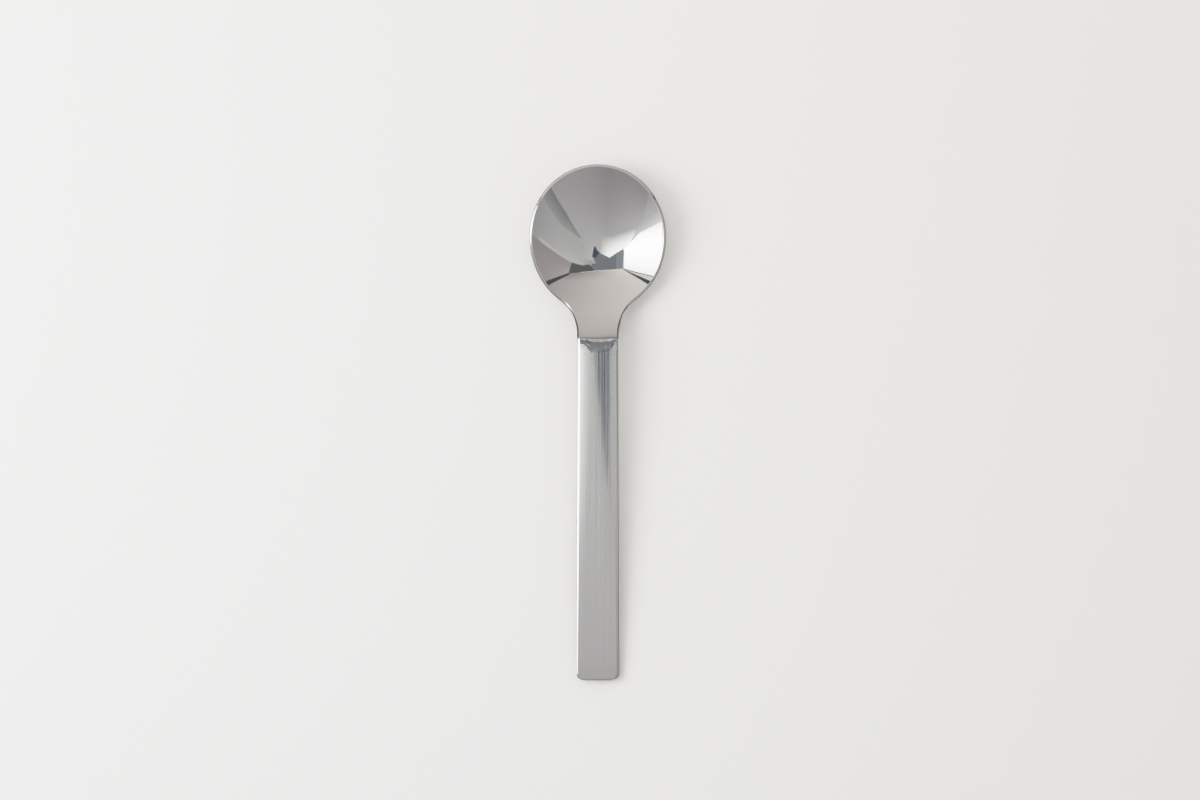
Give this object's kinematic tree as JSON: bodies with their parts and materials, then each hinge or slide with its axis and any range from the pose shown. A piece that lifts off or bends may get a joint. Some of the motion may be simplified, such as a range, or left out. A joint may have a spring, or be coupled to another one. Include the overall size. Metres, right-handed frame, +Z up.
{
  "type": "teaspoon",
  "caption": "Teaspoon with a round mirror-polished bowl on a short neck, joined at a crisp crease to a straight flat satin handle with a square end.",
  "frame": {"origin": "on the table under the middle of the spoon's box, midway between the tip of the bowl and the end of the handle", "axes": "+Y along the spoon towards the bowl's tip, +Z up from the table, +X to the right seen from above with the bowl at the top; the spoon lies as put down, on the bowl's underside and the end of the handle"},
  "size_m": [0.0358, 0.135, 0.0088],
  "materials": {
    "polished_steel": "stainless steel, mirror polished, with fine hairline scratches",
    "satin_steel": "stainless steel, satin, brushed along its length",
    "braze_metal": "silver brazing alloy, as cooled, hidden in the joint"
  },
  "bodies": {
    "root": {"bowl": "polished_steel", "handle": "satin_steel", "braze_seam": "braze_metal"}
  },
  "joints": []
}
